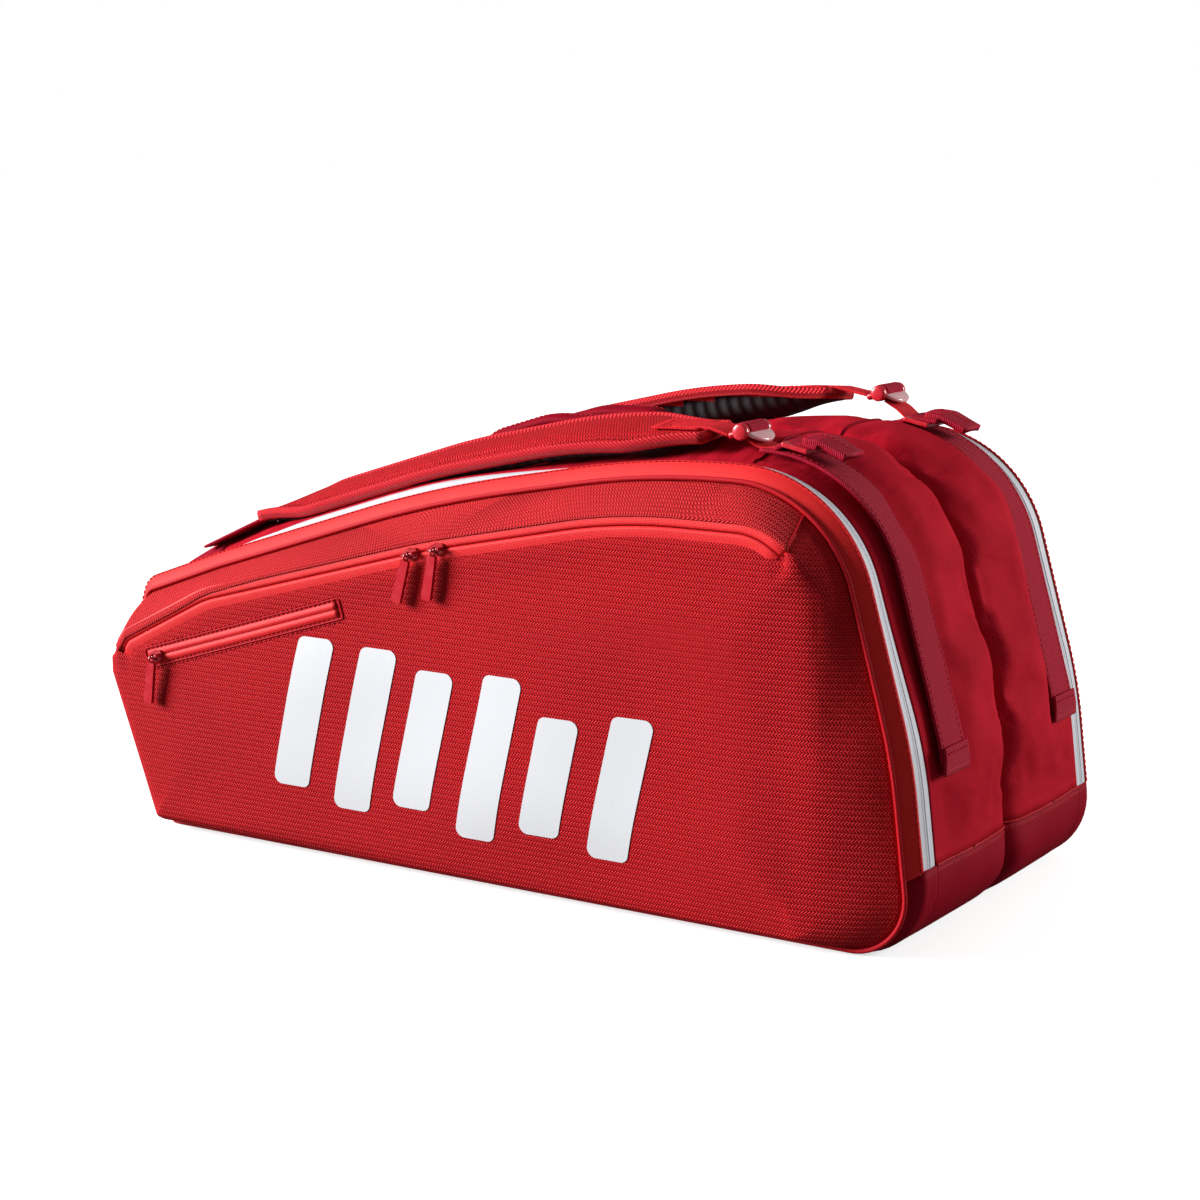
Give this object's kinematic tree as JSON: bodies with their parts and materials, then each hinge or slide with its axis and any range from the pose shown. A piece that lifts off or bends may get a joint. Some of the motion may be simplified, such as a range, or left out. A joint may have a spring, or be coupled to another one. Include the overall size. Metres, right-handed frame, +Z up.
{
  "type": "racket tournament bag",
  "caption": "Long red racket bag with two zipped racket compartments, a zipped pocket on each face, two shoulder straps and two grab handles.",
  "frame": {"origin": "middle of the base on the floor", "axes": "+X towards the head end along the length, +Z up, -Y the face with the small pocket"},
  "size_m": [0.7599, 0.3952, 0.3856],
  "materials": {
    "woven_fabric": "chunky red basket weave",
    "smooth_fabric": "smooth coated red fabric",
    "bright_fabric": "smooth bright red fabric",
    "brushed_fabric": "soft brushed red fabric",
    "lining": "dark padded lining",
    "board": "stiff base board",
    "white_zip": "white coated zip tape",
    "red_zip": "red coil zip tape",
    "print": "white transfer print",
    "slider_metal": "red painted metal",
    "red_plastic": "moulded red plastic",
    "webbing": "red webbing"
  },
  "bodies": {
    "core": {"base_boards": "board", "boot_panel": "smooth_fabric", "centre_divider": "lining", "end_straps": "webbing", "far_compartment_gusset": "brushed_fabric", "far_core_zip_tape": "white_zip", "handle_anchor_patches": "webbing", "near_compartment_gusset": "brushed_fabric", "near_core_zip_tape": "white_zip", "seam_binding": "smooth_fabric", "strap_anchor_patches": "webbing", "strap_feet": "webbing", "strap_rings": "red_plastic", "strap_tails": "webbing"},
    "near_lid": {"near_lid_band": "bright_fabric", "near_lid_inner_wall": "lining", "near_lid_piping": "smooth_fabric", "near_lid_zip_tape": "white_zip", "near_pocket_gusset": "woven_fabric", "near_pocket_zip_upper_tape": "red_zip"},
    "far_lid": {"far_lid_band": "bright_fabric", "far_lid_inner_wall": "lining", "far_lid_piping": "smooth_fabric", "far_lid_zip_tape": "white_zip", "far_pocket_gusset": "woven_fabric", "far_pocket_zip_upper_tape": "red_zip"},
    "near_pocket_panel": {"front_print": "print", "near_front_panel": "woven_fabric", "near_pocket_zip_lower_tape": "red_zip", "small_pocket_pouch": "lining", "small_pocket_welt": "smooth_fabric", "small_pocket_zip_tape": "red_zip"},
    "far_pocket_panel": {"far_front_panel": "woven_fabric", "far_pocket_zip_lower_tape": "red_zip"},
    "far_shoulder_strap": {"far_adjuster_webbing": "webbing", "far_anchor_webbing": "webbing", "far_pad_tab": "webbing", "far_shoulder_pad": "woven_fabric"},
    "far_handle": {"far_grab_handle": "webbing"},
    "far_main_pull_body": {"far_main_pull": "red_plastic"},
    "far_main_slider_body": {"far_main_slider": "slider_metal"},
    "far_pocket_pull_left_body": {"far_pocket_pull_left": "red_plastic"},
    "far_pocket_pull_right_body": {"far_pocket_pull_right": "red_plastic"},
    "far_pocket_slider_left_body": {"far_pocket_slider_left": "slider_metal"},
    "far_pocket_slider_right_body": {"far_pocket_slider_right": "slider_metal"},
    "far_adjuster": {"far_strap_adjuster": "red_plastic"},
    "near_shoulder_strap": {"near_adjuster_webbing": "webbing", "near_anchor_webbing": "webbing", "near_pad_tab": "webbing", "near_shoulder_pad": "woven_fabric"},
    "near_handle": {"near_grab_handle": "webbing"},
    "near_main_pull_body": {"near_main_pull": "red_plastic"},
    "near_main_slider_body": {"near_main_slider": "slider_metal"},
    "near_pocket_pull_left_body": {"near_pocket_pull_left": "red_plastic"},
    "near_pocket_pull_right_body": {"near_pocket_pull_right": "red_plastic"},
    "near_pocket_slider_left_body": {"near_pocket_slider_left": "slider_metal"},
    "near_pocket_slider_right_body": {"near_pocket_slider_right": "slider_metal"},
    "near_adjuster": {"near_strap_adjuster": "red_plastic"},
    "small_pull_body": {"small_pull": "red_plastic"},
    "small_slider_body": {"small_slider": "slider_metal"}
  },
  "joints": [
    {"name": "near_lid_fold", "type": "hinge", "parent": "core", "child": "near_lid", "pos_m": [0, -0.168, 0.002], "axis": [1, 0, 0], "range_deg": [0, 30]},
    {"name": "near_pocket_fold", "type": "hinge", "parent": "near_lid", "child": "near_pocket_panel", "pos_m": [0, -0.1858, 0.01], "axis": [1, 0, 0], "range_deg": [0, 10]},
    {"name": "near_pocket_slider_left_travel", "type": "slide", "parent": "near_pocket_panel", "child": "near_pocket_slider_left_body", "axis": [-0.9654, 0, -0.2607], "range_m": [0, 0.19]},
    {"name": "near_pocket_pull_left_swing", "type": "hinge", "parent": "near_pocket_slider_left_body", "child": "near_pocket_pull_left_body", "pos_m": [-0.047, -0.1926, 0.2616], "axis": [-0.9613, 0, 0.2756], "range_deg": [0, 150]},
    {"name": "near_pocket_slider_right_travel", "type": "slide", "parent": "near_pocket_panel", "child": "near_pocket_slider_right_body", "axis": [0.9791, 0, 0.2035], "range_m": [0, 0.14]},
    {"name": "near_pocket_pull_right_swing", "type": "hinge", "parent": "near_pocket_slider_right_body", "child": "near_pocket_pull_right_body", "pos_m": [-0.022, -0.1926, 0.2675], "axis": [-0.9848, 0, 0.1736], "range_deg": [0, 150]},
    {"name": "near_main_slider_travel", "type": "slide", "parent": "core", "child": "near_main_slider_body", "axis": [-0.3259, 0, 0.9454], "range_m": [0, 0.046]},
    {"name": "near_main_pull_swing", "type": "hinge", "parent": "near_main_slider_body", "child": "near_main_pull_body", "pos_m": [-0.36456, -0.141, 0.07191], "axis": [0, 1, 0], "range_deg": [0, 120]},
    {"name": "near_shoulder_lift", "type": "hinge", "parent": "core", "child": "near_shoulder_strap", "pos_m": [-0.318, -0.1, 0.232], "axis": [0, -1, 0], "range_deg": [0, 20]},
    {"name": "near_adjuster_tilt", "type": "hinge", "parent": "near_shoulder_strap", "child": "near_adjuster", "pos_m": [0.194, -0.1, 0.361], "axis": [0, -1, 0], "range_deg": [0, 50]},
    {"name": "near_handle_swing", "type": "hinge", "parent": "core", "child": "near_handle", "pos_m": [-0.098, -0.037, 0.3025], "axis": [-0.9754, 0, -0.2204], "range_deg": [-35, 50]},
    {"name": "far_lid_fold", "type": "hinge", "parent": "core", "child": "far_lid", "pos_m": [0, 0.168, 0.002], "axis": [-1, 0, 0], "range_deg": [0, 30]},
    {"name": "far_pocket_fold", "type": "hinge", "parent": "far_lid", "child": "far_pocket_panel", "pos_m": [0, 0.1858, 0.01], "axis": [-1, 0, 0], "range_deg": [0, 10]},
    {"name": "far_pocket_slider_left_travel", "type": "slide", "parent": "far_pocket_panel", "child": "far_pocket_slider_left_body", "axis": [-0.9654, 0, -0.2607], "range_m": [0, 0.19]},
    {"name": "far_pocket_pull_left_swing", "type": "hinge", "parent": "far_pocket_slider_left_body", "child": "far_pocket_pull_left_body", "pos_m": [-0.047, 0.1926, 0.2616], "axis": [0.9613, 0, -0.2756], "range_deg": [0, 150]},
    {"name": "far_pocket_slider_right_travel", "type": "slide", "parent": "far_pocket_panel", "child": "far_pocket_slider_right_body", "axis": [0.9791, 0, 0.2035], "range_m": [0, 0.14]},
    {"name": "far_pocket_pull_right_swing", "type": "hinge", "parent": "far_pocket_slider_right_body", "child": "far_pocket_pull_right_body", "pos_m": [-0.022, 0.1926, 0.2675], "axis": [0.9848, 0, -0.1736], "range_deg": [0, 150]},
    {"name": "far_main_slider_travel", "type": "slide", "parent": "core", "child": "far_main_slider_body", "axis": [-0.3259, 0, 0.9454], "range_m": [0, 0.046]},
    {"name": "far_main_pull_swing", "type": "hinge", "parent": "far_main_slider_body", "child": "far_main_pull_body", "pos_m": [-0.36456, 0.141, 0.07191], "axis": [0, 1, 0], "range_deg": [0, 120]},
    {"name": "far_shoulder_lift", "type": "hinge", "parent": "core", "child": "far_shoulder_strap", "pos_m": [-0.318, 0.1, 0.232], "axis": [0, -1, 0], "range_deg": [0, 20]},
    {"name": "far_adjuster_tilt", "type": "hinge", "parent": "far_shoulder_strap", "child": "far_adjuster", "pos_m": [0.206, 0.1, 0.373], "axis": [0, -1, 0], "range_deg": [0, 50]},
    {"name": "far_handle_swing", "type": "hinge", "parent": "core", "child": "far_handle", "pos_m": [-0.098, 0.037, 0.3025], "axis": [0.9754, 0, 0.2204], "range_deg": [-35, 50]},
    {"name": "small_slider_travel", "type": "slide", "parent": "near_pocket_panel", "child": "small_slider_body", "axis": [0.9563, 0, 0.2925], "range_m": [0, 0.182]},
    {"name": "small_pull_swing", "type": "hinge", "parent": "small_slider_body", "child": "small_pull_body", "pos_m": [-0.311, -0.1946, 0.1527], "axis": [-0.9903, 0, 0.1392], "range_deg": [0, 150]}
  ]
}
